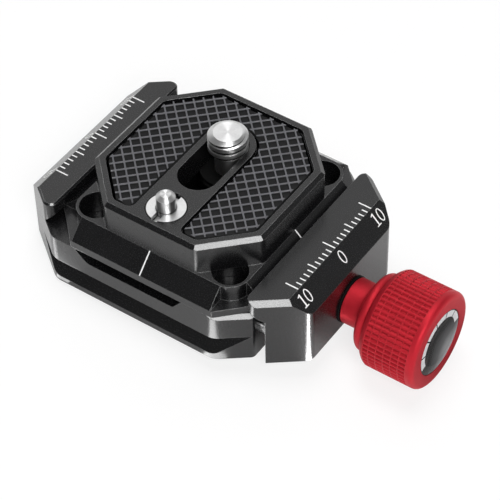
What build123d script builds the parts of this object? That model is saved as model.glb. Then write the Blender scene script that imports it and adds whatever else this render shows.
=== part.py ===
from build123d import *
from math import radians, sqrt, tan
import os

os.makedirs("parts", exist_ok=True)

# Dovetail quick release clamp, in millimetres. Origin: centre of the threaded hole in the
# base's bottom face. +X: clamping direction, towards the knob. +Y: along the jaws. +Z: up.

# Base and jaws
foot_half = 19.0          # half of the 38 mm dovetail round the bottom of the base
foot_strip = 1.0          # upright edge under the foot's slope
foot_slope = 3.7          # height and depth of the foot's 45 degree slope
seat_z = 9.35             # top of the corner seats that carry the plate
relief_depth = 2.1        # channel between the seats
relief_left = -12.6
relief_right = 7.6
relief_left_ramp = 2.2    # width of the channel's sloping sides
relief_right_ramp = 1.7
relief_left_round = 2.4
relief_right_round = 0.7
base_inset = 0.5          # how far the base's right side lies inside the flange
jaw_gap = 2.1             # space left there while a plate is clamped
jaw_wall = 5.5
jaw_top = 13.3
jaw_chamfer = 3.05        # long chamfer that carries the scale's figures
nose_over = 1.35          # how far the movable jaw's nose reaches over the flange
fixed_over = 0.45         # the same on the fixed jaw
end_angle = 37.5          # slant of the ends, measured from X
end_start = 13.2          # where the slanted end starts on the base's front and back
fixed_start = 17.0        # where it starts on the fixed jaw's side
end_bevel = 0.8           # bevel on the movable jaw's slanted ends
fixed_bevel = 0.3         # round the fixed jaw's top
seat_bevel = 0.65
front_round = 3.0         # upright corners
side_round = 1.0
nose_round = 1.3
jaw_round = 2.0

# Plate
plate_shift = -0.4        # where the plate stands on the scale
flange_half = 18.6
flange_strip = 1.3
flange_slope = 2.9
flange_cut = 5.4          # 45 degree cut of the flange's lowest corners
hole_inset = 6.2          # corner holes, from the flange's sides
hole_r = 2.85
corner_step = 0.5         # from a hole's middle to the sides of its low corner
plate_top = 19.0
plate_flat = 8.3          # half length of the eight-sided body's long sides
plate_bevel = 0.65
plate_round = 1.5
rim = 1.65                # metal left round the pad
pad_depth = 0.9
pad_play = 0.08           # room round the pad in its recess
strip_half = 4.4          # metal strip between the pad's two legs
corner_round = 1.6        # pad's corners
tip_round = 1.2           # ends of the pad's legs
slot_inset = 10.7         # slot's far round end, from the body's rear side
slot_from_pin = 8.3       # from the index pin to the slot's near round end
slot_play = 0.125         # radial room of the screw in the slot
pocket_r = 5.2            # pocket for the screw's head, in the underside
web_z = 14.4              # underside of the metal that the head pulls against

# Camera screw, 1/4 inch
screw_r = 3.175
thread_chamfer = 0.9      # at the tip
thread_end = 0.75         # chamfer at the thread's lower end
neck_r = 2.2
screw_top = 21.8
thread_len = 3.5
head_r = 4.9
head_h = 2.5
head_edge = 0.25
head_slot = 1.4           # width of the coin slot
head_slot_deep = 1.2
washer_h = 0.5
washer_in = 0.3           # how far the washer's edge lies inside the head's

# Index pin and its insert
pin_inset = 4.6           # from the body's front side
pin_r = 1.5
pin_chamfer = 0.62
pin_guide_r = 1.62        # part of the pin that runs in the insert
pin_top = 21.9
insert_r = 3.3
insert_h = 1.8
collar_r = 2.25
collar_h = 1.0
pin_well_r = 2.45
pin_floor = 10.6
pin_wire = 0.36
pin_coil_r = 1.7
pin_tail_r = 0.9          # under the collar, inside the spring
pin_tail = 2.1
insert_slot = 1.2         # screwdriver slot across the insert
insert_slot_deep = 0.8

# Clamp screw and knob, on an axis along X
axis_z = 3.8
stud_r = 2.5
stud_start = 8.0
stud_end = 34.0
stud_bevel = 0.6
stud_groove = 0.4         # depth of the clip's groove
pocket_x = 14.1           # floor of the spring's pocket in the base
spring_r = 2.95
spring_wire = 0.6
spring_turns = 3
spring_pocket_r = 3.35
clip_t = 0.6
clip_r = 3.1
clip_room = 0.3           # round the clip in the jaw
clip_gap = 2.6            # opening of the clip's ring
clip_pocket = 2.0
guide_inset = 6.2         # guide pins, from the base's front and back
guide_z = 5.0
guide_r = 0.95
guide_len = 12.4
guide_grip = 1.3          # length of each guide pin in the jaw
guide_well = 3.0          # room behind the pins in the base
thrust_h = 0.25
thrust_over = 0.1         # how far the washer reaches past the knob's collar
knob_collar_r = 3.8
knob_collar = 2.6         # length of the collar
knob_hollow = 1.2         # radius between collar and ring
knob_ring_r = 6.5
knob_ring = 1.0           # radius on the ring's edge
knob_r = 8.05
knob_end = 41.5
knob_end_round = 0.85
knob_neck = 0.9           # length of the ring's right side
knob_neck_deep = 0.5
knob_bevel = 0.12         # at the start of the grip
knob_edge = 0.15          # small bevels
cap_r = 5.5
cap_h = 1.9
cap_sink = 0.15           # how far the cap's rim lies inside the knob's end
cap_dish_r = 16.0
cap_dish = 1.15           # depth of the dish
knob_screw_r = 1.5        # M3 button head
knob_screw_len = 4.0      # length of it in the stud
screw_head_r = 2.75
screw_head_h = 2.2
screw_room = 0.35         # round the head, in the knob
web_h = 1.8               # knob's wall under the screw's head
hexagon_r = 1.44
hexagon_deep = 1.3
bush_r = 4.76             # 3/8 inch hole in the base
bush_h = 6.0
bush_slot = 1.2           # width and depth of the screwdriver slot
hole_mouth = 0.4

# Fits
run_fit = 0.05            # radial clearance of what turns or slides
seat_fit = 0.02           # between faces that touch
seat_rise = 0.05          # under the plate
over = 1.0                # how far a cut runs past the face that it opens

# Worked out from the sizes above
slant = tan(radians(end_angle))
nose_x = flange_half - nose_over
fixed_nose = flange_half - fixed_over
base_right = flange_half - base_inset
guide_y = foot_half - guide_inset
wall_x = base_right + jaw_gap
jaw_outer = wall_x + jaw_wall
relief_z = seat_z - relief_depth
flange_z = seat_z + seat_rise
flange_top = flange_z + flange_strip + flange_slope
body_half = flange_half - flange_slope
slope_sum = flange_half + flange_z + flange_strip + seat_fit * sqrt(2)
hole_at = flange_half - hole_inset
corner_r = body_half - hole_at
plate_cut = body_half - plate_flat
pin_y = pin_inset - body_half
slot_near = pin_y + slot_from_pin
slot_far = body_half - slot_inset
pin_under = plate_top - insert_h
guide_start = wall_x + guide_grip - guide_len
head_top = web_z - washer_h - 2 * seat_fit


def end_y(x, start):
    """Half length in Y at x, for a slanted end that starts at x = start."""
    return foot_half - (x - start) * slant


def prism_y(points, half):
    """Solid with an outline in XZ, running from -half to half in Y."""
    face = make_face(Polyline(*[(x, 0, z) for x, z in points], close=True))
    return extrude(face, amount=half, dir=(0, 1, 0), both=True)


def prism_x(points, low, high):
    """Solid with an outline in YZ, running from low to high in X."""
    face = make_face(Polyline(*[(low, y, z) for y, z in points], close=True))
    return extrude(face, amount=high - low, dir=(1, 0, 0))


def prism_z(points, low, high):
    """Solid with an outline in XY, running from low to high in Z."""
    face = make_face(Polyline(*[(x, y, low) for x, y in points], close=True))
    return extrude(face, amount=high - low, dir=(0, 0, 1))


def round_upright(solid, corners):
    """Round upright edges: corners lists (x, y, radius)."""
    for x, y, r in corners:
        edges = [e for e in solid.edges()
                 if abs(e.center().X - x) < 0.05 and abs(e.center().Y - y) < 0.05
                 and abs(e.tangent_at(0.5).Z) > 0.99]
        if edges:
            solid = fillet(edges, r)
    return solid


def upright(x, y, r, low, high):
    return Pos(x, y, (low + high) / 2) * Cylinder(r, high - low)


def along_x(y, z, r, low, high):
    return Pos((low + high) / 2, y, z) * Rot(0, 90, 0) * Cylinder(r, high - low)


def ring_x(y, z, outer, inner, low, high):
    return along_x(y, z, outer, low, high) - along_x(y, z, inner, low - 1, high + 1)


def slot_upright(r, near, far, low, high):
    """Upright cutter with two round ends, on x = 0."""
    box = Pos(0, (near + far) / 2, (low + high) / 2) * Box(2 * r, far - near, high - low)
    return box + upright(0, near, r, low, high) + upright(0, far, r, low, high)


def slant_bevel(start, top, leg, side):
    """Cutter for the bevel on a slanted end's top edge; side is the end's side in Y."""
    size = 10
    cut = Rot(45, 0, 0) * Box(60, size, size)
    cut = Rot(0, 0, -end_angle) * Pos(0, size / sqrt(2) - leg, 0) * cut
    cut = Pos(start, foot_half, top) * cut
    if side < 0:
        cut = mirror(cut, Plane.XZ)
    return cut


def coil_spring(turns, height, radius, wire, origin, direction):
    """Coil of six-sided wire, which stays light to draw."""
    path = Helix(height / turns, height, radius, center=origin, direction=direction)
    plane = Plane(origin=path @ 0, z_dir=path % 0)
    return sweep(plane * RegularPolygon(wire / 2, 6), path=path)


# Base with the fixed jaw
left_y = end_y(jaw_outer, fixed_start)
right_y = end_y(base_right, end_start)
plan = [(end_start, -foot_half), (base_right, -right_y), (base_right, right_y),
        (end_start, foot_half), (-fixed_start, foot_half), (-jaw_outer, left_y),
        (-jaw_outer, -left_y), (-fixed_start, -foot_half)]
block = round_upright(prism_z(plan, 0, seat_z),
                      [(end_start, -foot_half, front_round), (end_start, foot_half, front_round),
                       (-fixed_start, foot_half, front_round),
                       (-fixed_start, -foot_half, front_round),
                       (base_right, -right_y, side_round), (base_right, right_y, side_round)])

under_x = slope_sum - seat_z
outline = [(-jaw_outer, seat_z - over), (-under_x, seat_z - over), (-under_x, seat_z),
           (-fixed_nose, slope_sum - fixed_nose), (-fixed_nose, jaw_top),
           (-(jaw_outer - jaw_chamfer), jaw_top), (-jaw_outer, jaw_top - jaw_chamfer)]
nose_y = end_y(fixed_nose, fixed_start)
plan = [(-fixed_nose, -nose_y), (-fixed_nose, nose_y), (-jaw_outer, left_y), (-jaw_outer, -left_y)]
fixed = prism_y(outline, foot_half + over) & round_upright(
    prism_z(plan, 0, jaw_top + over),
    [(-fixed_nose, -nose_y, nose_round), (-fixed_nose, nose_y, nose_round)])
rim_edges = [e for e in fixed.edges() if abs(e.center().Z - jaw_top) < 0.01
             and e.center().X > jaw_chamfer - jaw_outer + 0.01]
fixed = chamfer(rim_edges, fixed_bevel)
base = block + fixed

channel = prism_y([(relief_left, seat_z), (relief_left, seat_z + over), (relief_right, seat_z + over),
                   (relief_right, seat_z), (relief_right - relief_right_ramp, relief_z),
                   (relief_left + relief_left_ramp, relief_z)], foot_half + over)
floor_edges = [e for e in channel.edges() if abs(e.center().Z - relief_z) < 0.01
               and abs(e.tangent_at(0.5).Y) > 0.99]
floor_edges.sort(key=lambda e: e.center().X)
channel = fillet([floor_edges[0]], relief_left_round)
floor_edges = [e for e in channel.edges() if abs(e.center().Z - relief_z) < 0.01
               and abs(e.tangent_at(0.5).Y) > 0.99]
floor_edges.sort(key=lambda e: e.center().X)
channel = fillet([floor_edges[-1]], relief_right_round)
base -= channel

right_half = Pos(jaw_outer, 0, 0) * Box(2 * jaw_outer, 4 * foot_half, 4 * foot_half)
for side in (-1, 1):
    base -= prism_x([(side * (foot_half + over), foot_strip - over),
                     (side * (foot_half - foot_slope), foot_strip + foot_slope),
                     (side * (foot_half + over), foot_strip + foot_slope)],
                    -jaw_outer - over, base_right + over)
    base -= slant_bevel(end_start, seat_z, seat_bevel, side) & right_half
    base -= along_x(side * guide_y, guide_z, guide_r + run_fit, guide_start - guide_well,
                    base_right + over)

base -= along_x(0, axis_z, stud_r + run_fit, bush_r + over, base_right + over)
base -= along_x(0, axis_z, spring_pocket_r, pocket_x, base_right + over)
base -= upright(0, 0, bush_r, -over, relief_z + over)
base -= Pos(0, 0, hole_mouth / 2) * Cone(bush_r + hole_mouth, bush_r, hole_mouth)

# Bush in the base's hole, with a screwdriver slot from below
bush = upright(0, 0, bush_r - seat_fit, 0, bush_h) - upright(0, 0, screw_r, -over, bush_h + over)
bush -= Box(2 * bush_r + over, bush_slot, 2 * bush_slot)

# Movable jaw
outline = [(wall_x, 0), (jaw_outer, 0), (jaw_outer, jaw_top - jaw_chamfer),
           (jaw_outer - jaw_chamfer, jaw_top), (nose_x, jaw_top),
           (nose_x, slope_sum - nose_x), (wall_x, slope_sum - wall_x)]
jaw_start = end_start + jaw_gap
nose_y = end_y(nose_x, jaw_start)
outer_y = end_y(jaw_outer, jaw_start)
plan = [(nose_x, -nose_y), (jaw_outer, -outer_y), (jaw_outer, outer_y), (nose_x, nose_y)]
block = round_upright(prism_z(plan, -over, jaw_top + over),
                      [(nose_x, -nose_y, nose_round), (nose_x, nose_y, nose_round),
                       (jaw_outer, -outer_y, jaw_round), (jaw_outer, outer_y, jaw_round)])
jaw = prism_y(outline, foot_half + over) & block
for side in (-1, 1):
    jaw -= slant_bevel(jaw_start, jaw_top, end_bevel, side)
    jaw -= along_x(side * guide_y, guide_z, guide_r, wall_x - over, wall_x + guide_grip)
jaw -= along_x(0, axis_z, stud_r + 2 * run_fit, wall_x - over, jaw_outer + over)
jaw -= along_x(0, axis_z, clip_r + clip_room, wall_x - over, wall_x + clip_pocket)

guides = {}
for name, side in (("front", -1), ("rear", 1)):
    guides[name] = along_x(side * guide_y, guide_z, guide_r, guide_start, wall_x + guide_grip)

# Stud, clip, spring and washer
clip_x = wall_x + clip_pocket - clip_t - run_fit
groove_r = stud_r - stud_groove
stud = along_x(0, axis_z, stud_r, stud_start, stud_end)
stud = chamfer(stud.edges().filter_by(GeomType.CIRCLE).sort_by(Axis.X)[0], stud_bevel)
stud -= ring_x(0, axis_z, stud_r + over, groove_r, clip_x - seat_fit, clip_x + clip_t + seat_fit)
stud -= along_x(0, axis_z, knob_screw_r + seat_fit, stud_end - knob_screw_len - over,
                stud_end + over)

clip = ring_x(0, axis_z, clip_r, groove_r + seat_fit, clip_x, clip_x + clip_t)
clip -= Pos(clip_x, 0, axis_z - clip_r) * Box(4 * clip_t, clip_gap, 2 * groove_r)

spring_low = pocket_x + spring_wire / 2 + run_fit
spring_high = clip_x - spring_wire / 2 - run_fit
spring = coil_spring(spring_turns, spring_high - spring_low, spring_r, spring_wire,
                     (spring_low, 0, axis_z), (1, 0, 0))

thrust_x = jaw_outer + seat_fit
thrust = ring_x(0, axis_z, knob_collar_r + thrust_over, stud_r + run_fit, thrust_x, thrust_x + thrust_h)

# Knob: collar, rounded ring, grip and rounded end, turned about the screw's axis
knob_x = thrust_x + thrust_h + seat_fit
bore = stud_r + seat_fit
head_bore = screw_head_r + screw_room
web_bore = knob_screw_r + 2 * run_fit
hollow_x = knob_x + knob_collar
ring_x0 = hollow_x + knob_hollow
ring_top = ring_x0 + knob_ring
neck_x = ring_top + knob_neck
neck_height = knob_ring_r - knob_neck_deep
grip_x = neck_x + knob_edge + knob_bevel
grip_end = knob_end - knob_end_round
web_x = stud_end + seat_fit
head_x = web_x + web_h
cap_x = knob_end - cap_h
with BuildPart() as turned:
    with BuildSketch(Plane.XZ):
        with BuildLine():
            Polyline((knob_x, bore), (knob_x, knob_collar_r - knob_edge),
                     (knob_x + knob_edge, knob_collar_r), (hollow_x, knob_collar_r))
            TangentArc((hollow_x, knob_collar_r), (ring_x0, knob_collar_r + knob_hollow),
                       tangent=(1, 0))
            Line((ring_x0, knob_collar_r + knob_hollow), (ring_x0, knob_ring_r - knob_ring))
            TangentArc((ring_x0, knob_ring_r - knob_ring), (ring_top, knob_ring_r),
                       tangent=(0, 1))
            TangentArc((ring_top, knob_ring_r), (neck_x, neck_height), tangent=(1, 0))
            Polyline((neck_x, neck_height), (grip_x - knob_bevel, knob_r - knob_bevel),
                     (grip_x, knob_r), (grip_end, knob_r))
            TangentArc((grip_end, knob_r), (knob_end, knob_r - knob_end_round), tangent=(1, 0))
            Polyline((knob_end, knob_r - knob_end_round), (knob_end, cap_r + seat_fit),
                     (cap_x - seat_fit, cap_r + seat_fit), (cap_x - seat_fit, head_bore),
                     (head_x, head_bore), (head_x, web_bore), (web_x, web_bore),
                     (web_x, bore), (knob_x, bore))
        make_face()
    revolve(axis=Axis.X)
knob = Pos(0, 0, axis_z) * turned.part

knob_screw = along_x(0, axis_z, knob_screw_r, stud_end - knob_screw_len, head_x + seat_fit)
knob_screw += along_x(0, axis_z, screw_head_r, head_x + seat_fit, head_x + screw_head_h)
socket_x = head_x + screw_head_h - hexagon_deep
socket = Plane((socket_x, 0, axis_z), x_dir=(0, 1, 0), z_dir=(1, 0, 0))
knob_screw -= extrude(socket * RegularPolygon(hexagon_r, 6), amount=hexagon_deep + over)

cap = along_x(0, axis_z, cap_r, cap_x, knob_end - cap_sink)
cap -= Pos(knob_end - cap_dish + cap_dish_r, 0, axis_z) * Sphere(cap_dish_r)

# Plate: square flange with 45 degree slopes, ledges at its corners and the body on top
section = [(-flange_half, flange_z), (flange_half, flange_z),
           (flange_half, flange_z + flange_strip), (body_half, flange_top),
           (-body_half, flange_top), (-flange_half, flange_z + flange_strip)]
flange = prism_y(section, flange_half) & prism_x(section, -flange_half, flange_half)
c = flange_half - flange_cut
f = flange_half
flange &= prism_z([(c, -f), (f, -c), (f, c), (c, f), (-c, f), (-f, c), (-f, -c), (-c, -f)],
                  flange_z - over, flange_top + over)
ledge_z = flange_z + flange_strip
for sx in (-1, 1):
    for sy in (-1, 1):
        at = hole_at + corner_step + f / 2
        corner = Pos(sx * at, sy * at, (ledge_z + flange_top + over) / 2)
        corner = corner * Box(f, f, flange_top + over - ledge_z)
        post = upright(sx * hole_at, sy * hole_at, corner_r, ledge_z - over, flange_top + 2 * over)
        flange -= corner - post


def eight_sides(half, cut):
    k = half - cut
    return [(k, -half), (half, -k), (half, k), (k, half), (-k, half), (-half, k), (-half, -k),
            (-k, -half)]


def inset_cut(cut, step):
    """Corner cut of an eight-sided outline after all its sides move in by step."""
    return cut - step * (2 - sqrt(2))


sides = eight_sides(body_half, plate_cut)
body = prism_z(sides, flange_top, plate_top)
body = chamfer(body.faces().sort_by(Axis.Z)[-1].edges(), plate_bevel)
body &= round_upright(prism_z(sides, flange_top, plate_top + over),
                      [(x, y, plate_round) for x, y in sides])
for sx in (-1, 1):
    for sy in (-1, 1):
        hole = upright(sx * hole_at, sy * hole_at, hole_r, flange_z - over, flange_top)
        flange -= hole
plate = body + flange

pad_half = body_half - rim
pad_z = plate_top - pad_depth
pad_cut = inset_cut(plate_cut, rim)


def pad_shape(grow, low, high):
    """Horseshoe shape of the pad, or of its recess when grow is larger."""
    sides = eight_sides(pad_half + grow, pad_cut + grow * (2 - sqrt(2)))
    shape = round_upright(prism_z(sides, low, high), [(x, y, corner_round) for x, y in sides])
    near = -flange_half
    inner = strip_half - grow
    shape -= Pos(0, (near + slot_far) / 2, (low + high) / 2) * Box(
        2 * inner, slot_far - near, high - low + 2 * over)
    shape -= upright(0, slot_far, inner, low - over, high + over)
    return shape


def round_pad_tips(solid, grow):
    tips = []
    for e in solid.edges():
        p = e.center()
        if (abs(e.tangent_at(0.5).Z) > 0.99 and abs(abs(p.X) - (strip_half - grow)) < 0.05
                and p.Y < tip_round - pad_half):
            tips.append(e)
    return fillet(tips, tip_round)


plate -= round_pad_tips(pad_shape(pad_play, pad_z, plate_top + over), pad_play)
plate -= slot_upright(screw_r + slot_play, slot_near, slot_far, web_z - over, plate_top + over)
plate -= slot_upright(pocket_r, slot_near, slot_far, flange_z - over, web_z)
plate -= upright(0, pin_y, insert_r + seat_fit, pin_under, plate_top + over)
plate -= upright(0, pin_y, pin_well_r, pin_floor, plate_top + over)

pad = round_pad_tips(pad_shape(0, pad_z + seat_fit, plate_top), 0)

# Insert and index pin
insert = upright(0, pin_y, insert_r, pin_under + seat_fit, plate_top)
insert -= upright(0, pin_y, pin_guide_r + run_fit, pin_under - over, plate_top + over)
insert -= Pos(0, pin_y, plate_top) * Box(insert_slot, 2 * insert_r + over, 2 * insert_slot_deep)

collar_top = pin_under - run_fit
pin = upright(0, pin_y, pin_r, collar_top, pin_top)
pin = chamfer(pin.edges().filter_by(GeomType.CIRCLE).sort_by(Axis.Z)[-1], pin_chamfer)
pin += upright(0, pin_y, pin_guide_r, collar_top, plate_top + run_fit)
pin += upright(0, pin_y, collar_r, collar_top - collar_h, collar_top)
pin += upright(0, pin_y, pin_tail_r, collar_top - collar_h - pin_tail, collar_top - collar_h)

coil_low = pin_floor + pin_wire / 2 + seat_fit
coil_high = collar_top - collar_h - pin_wire / 2 - seat_fit
pin_spring = coil_spring(spring_turns, coil_high - coil_low, pin_coil_r, pin_wire,
                         (0, pin_y, coil_low), (0, 0, 1))

# Camera screw and washer
screw = upright(0, slot_far, neck_r, head_top, screw_top - thread_len)
thread = upright(0, slot_far, screw_r, screw_top - thread_len, screw_top)
ends = thread.edges().filter_by(GeomType.CIRCLE).sort_by(Axis.Z)
thread = chamfer(ends[-1], thread_chamfer)
thread = chamfer(thread.edges().filter_by(GeomType.CIRCLE).sort_by(Axis.Z)[0], thread_end)
head = upright(0, slot_far, head_r, head_top - head_h, head_top)
head = chamfer(head.edges().filter_by(GeomType.CIRCLE), head_edge)
screw = screw + thread + head
screw -= Pos(0, slot_far, head_top - head_h) * Box(head_slot, 2 * head_r + over, 2 * head_slot_deep)

washer_low = head_top + seat_fit
washer = upright(0, slot_far, head_r - washer_in, washer_low, washer_low + washer_h)
washer -= upright(0, slot_far, neck_r + run_fit, washer_low - over, washer_low + washer_h + over)

on_plate = Pos(0, plate_shift, 0)
parts = {
    "base_body": base,
    "thread_bush": bush,
    "movable_jaw": jaw,
    "guide_pin_front": guides["front"],
    "guide_pin_rear": guides["rear"],
    "clamp_stud": stud,
    "stud_clip": clip,
    "clamp_spring": spring,
    "thrust_washer": thrust,
    "knob": knob,
    "knob_screw": knob_screw,
    "knob_cap": cap,
    "plate_body": on_plate * plate,
    "grip_pad": on_plate * pad,
    "pin_insert": on_plate * insert,
    "index_pin": on_plate * pin,
    "pin_spring": on_plate * pin_spring,
    "camera_screw": on_plate * screw,
    "screw_washer": on_plate * washer,
}
for name, shape in parts.items():
    solids = shape.solids()
    print(name, len(solids), round(sum(s.volume for s in solids), 2), shape.is_valid)
    export_step(shape, "parts/" + name + ".step")
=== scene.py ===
from math import asin, cos, pi, radians, sin, sqrt, tau

import bmesh
import bpy
from mathutils import Matrix, Vector


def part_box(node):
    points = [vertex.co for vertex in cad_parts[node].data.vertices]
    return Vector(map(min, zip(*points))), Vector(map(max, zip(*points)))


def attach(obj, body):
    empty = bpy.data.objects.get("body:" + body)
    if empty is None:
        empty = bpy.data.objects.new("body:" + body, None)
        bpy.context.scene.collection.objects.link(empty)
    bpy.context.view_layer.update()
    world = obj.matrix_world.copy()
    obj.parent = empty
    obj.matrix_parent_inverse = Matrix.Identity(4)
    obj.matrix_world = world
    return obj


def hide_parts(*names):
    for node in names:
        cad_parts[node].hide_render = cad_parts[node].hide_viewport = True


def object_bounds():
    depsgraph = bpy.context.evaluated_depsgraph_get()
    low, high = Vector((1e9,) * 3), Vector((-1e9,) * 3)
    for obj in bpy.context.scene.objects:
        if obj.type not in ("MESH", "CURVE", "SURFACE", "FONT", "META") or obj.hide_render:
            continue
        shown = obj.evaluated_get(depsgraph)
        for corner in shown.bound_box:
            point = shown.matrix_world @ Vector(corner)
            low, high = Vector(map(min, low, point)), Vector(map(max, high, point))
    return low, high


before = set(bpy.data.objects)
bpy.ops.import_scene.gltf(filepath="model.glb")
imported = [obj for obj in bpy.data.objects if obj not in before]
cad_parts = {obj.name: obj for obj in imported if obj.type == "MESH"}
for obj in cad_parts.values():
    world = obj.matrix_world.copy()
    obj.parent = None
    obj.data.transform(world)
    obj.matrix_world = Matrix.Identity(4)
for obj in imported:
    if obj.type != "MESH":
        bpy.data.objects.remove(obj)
cad_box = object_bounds()

bl_info = {
    "name": "Dovetail quick release clamp",
    "version": (1, 0, 0),
    "blender": (4, 5, 0),
    "location": "3D View > Sidebar > Clamp",
    "description": "Finishes the clamp, its knob and its plate, and sets the studio round them",
    "category": "Object",
}

MM = 0.001
SHARP = radians(32)       # edges that turn further than this are shaded as sharp
PROUD = 0.012 * MM        # how far paint stands above the metal
WELD = 1e-5               # points closer than this are one, in millimetres
RING = 6.3                # turns the width of a light or dark ring into the wave texture's scale
ARMS = 4.0                # painted highlights: bright stripes round a turned part
ARMS_TURN = 0.948         # where the first of them lies, in radians
SLACK = 0.01              # how far off a point may lie and still count as on a pit's outline
STEEP = radians(30)       # a rib's edges turn further than this
# colour of the painted shade on turned steel
PAINTED_SHADE = (0.004, 0.004, 0.004)
ORIGIN = (0, 0, 0)
UP = (0, 0, 1)
ALONG = (1, 0, 0)         # the knob's axis


def length(name, text, millimetres):
    """A length as a property, in metres, from its default in millimetres."""
    return bpy.props.FloatProperty(name=name, description=text, default=millimetres * MM,
                                   unit="LENGTH", subtype="DISTANCE", precision=6)


def angle(name, text, degrees):
    """An angle as a property, in radians, from its default in degrees."""
    return bpy.props.FloatProperty(name=name, description=text, default=radians(degrees),
                                   unit="ROTATION", subtype="ANGLE")


def colour(name, text, red, green, blue):
    """A colour as a property."""
    return bpy.props.FloatVectorProperty(name=name, description=text, size=3, subtype="COLOR",
                                         default=(red, green, blue), min=0, max=1)


def count(name, text, number):
    """A whole number as a property, 1 or more."""
    return bpy.props.IntProperty(name=name, description=text, default=number, min=1)


def share(name, text, value):
    """A share of the whole as a property, from 0 to 1."""
    return bpy.props.FloatProperty(name=name, description=text, default=value, subtype="FACTOR",
                                   min=0, max=1)


def level(name, text, value):
    """A strength as a property, 0 or more."""
    return bpy.props.FloatProperty(name=name, description=text, default=value, min=0)


class ClampFinish(bpy.types.PropertyGroup):
    """Colours and gloss of the clamp's metals and plastics."""

    black: colour("Black anodising", "Base, jaw and plate", 0.0045, 0.0045, 0.005)
    black_gloss: share("Black roughness", "Roughness of the black anodising", 0.25)
    # painted highlight: the lighter colour that the edges of the black anodising are painted with
    edge: colour("Edges", "Black anodising where its edges are rubbed", 0.12, 0.12, 0.122)
    edge_round: length("Edge rounding", "Radius that the finish gives to sharp edges", 0.12)
    # painted shadow: width of the dark ring painted round the insert's edge
    insert_painted_gap: length("Insert gap", "Width of the shadow gap round the pin's insert", 0.26)
    red: colour("Red anodising", "Knob", 0.54, 0.012, 0.026)
    # painted shade: the red that the knob's hollows and grooves are painted with
    red_painted_shade: colour("Red in the hollows", "Knob, in its grooves", 0.2, 0.002, 0.006)
    red_gloss: share("Red roughness", "Roughness of the red anodising", 0.52)
    steel: colour("Bright steel", "Camera screw, index pin and insert", 0.8, 0.8, 0.8)
    plain: colour("Plain steel", "Stud, bush, pins and hidden screws", 0.5, 0.5, 0.5)
    spring: colour("Spring steel", "Springs and clip", 0.36, 0.36, 0.37)
    rubber: colour("Rubber", "Pad on the plate", 0.012, 0.012, 0.013)
    plastic: colour("Black plastic", "Washers", 0.003, 0.003, 0.003)
    # the cap's own black, which a painted reflection lightens towards its lower edge
    gloss: colour("Gloss black", "Dark side of the cap in the knob's end", 0.002, 0.002, 0.002)
    # painted reflection: the light grey that the cap's lower side is painted with
    cap_painted_light: colour("Gloss light", "Light side of that cap", 0.42, 0.42, 0.43)
    paint: colour("Paint", "Scales and index lines", 0.95, 0.95, 0.95)
    mark: colour("Cap marks", "Segments printed on the cap", 0.7, 0.7, 0.71)


class ClampScale(bpy.types.PropertyGroup):
    """Sizes of the scales on both jaws and of the plate's index lines."""

    reach: count("Reach", "Millimetres that the scale runs to each side of zero", 10)
    step: length("Step", "Distance between lines", 1.0)
    long: length("Long line", "Length of the lines at 0 and 10", 2.25)
    middle: length("Middle line", "Length of the lines at 5", 1.6)
    short: length("Short line", "Length of the other lines", 1.0)
    width: length("Line width", "Width of all lines", 0.23)
    chamfer: length("Chamfer", "Width and height of the jaws' long chamfer", 3.05)
    figure_down: length("Figures down", "From the chamfer's top edge to the figures' middle", 1.76)
    figure_height: length("Figure height", "Height of the figures", 2.28)
    nought_width: length("Nought width", "Width of the nought", 1.14)
    stroke: length("Stroke", "Thickness of the figures' strokes", 0.2)
    foot: length("Foot", "Width of the one's foot", 0.98)
    spacing: length("Spacing", "From the middle of the one to the middle of the nought", 1.3)
    figure_shift: length("Figure shift", "How far the figures stand beside their lines", 0.1)
    index_width: length("Index width", "Width of the plate's index lines", 0.22)
    slope: length("Slope", "Width and height of the plate's sloping sides", 2.9)
    strip: length("Strip", "Upright edge under the plate's slopes", 1.3)


class ClampPad(bpy.types.PropertyGroup):
    """Sizes of the pattern moulded into the pad."""

    pitch: length("Pitch", "Distance between pits, along their sides", 1.58)
    rib: length("Rib", "Width of the ribs between pits", 0.22)
    depth: length("Depth", "Depth of the pits", 0.36)
    corner: length("Pit corners", "Radius of the pits' corners", 0.15)
    round: length("Rib edges", "Bevel of the ribs' edges", 0.04)
    gap: length("Gap", "Shadow gap cut round the pad", 0.4)
    # painted shadow: thickness of a near black matte sheet that fills the gap round the pad with
    # shade
    shade_sheet: length("Backing", "Thickness of the film that the pad is glued down with", 0.1)
    rows: count("Rows", "Rows of pits, which the pad's outline cuts", 20)
    floor: share("Pit floor", "Width of a pit's floor as a share of its mouth", 0.93)


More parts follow.
